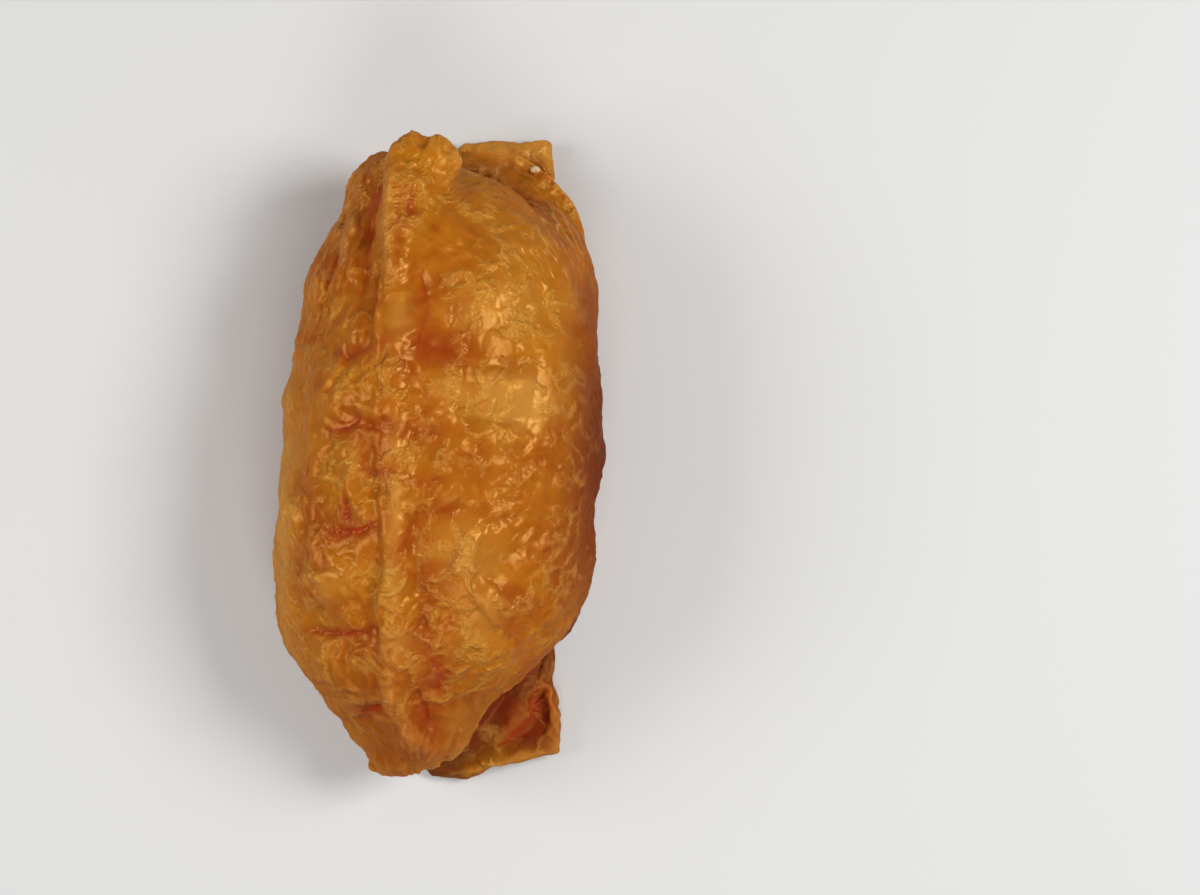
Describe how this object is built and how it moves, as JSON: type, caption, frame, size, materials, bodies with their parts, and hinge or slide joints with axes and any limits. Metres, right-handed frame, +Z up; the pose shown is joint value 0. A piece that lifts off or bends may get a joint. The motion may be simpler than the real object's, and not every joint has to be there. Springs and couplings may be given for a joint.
{
  "type": "inari sushi",
  "caption": "Plump pouch of simmered fried tofu filled with rice, lying on its folded-under mouth, with a raised closed edge and loose corners.",
  "frame": {"origin": "middle of the outline in plan, on the surface the pouch rests on", "axes": "+Z up, +Y along the closed edge from the tail end to the head end with the broad ear, +X towards the cut edge of the mouth"},
  "size_m": [0.042, 0.083, 0.0316],
  "materials": {
    "tofu_skin": "moist, wrinkled, glossy simmered tofu skin"
  },
  "bodies": {
    "root": {"pouch": "tofu_skin"}
  },
  "joints": []
}
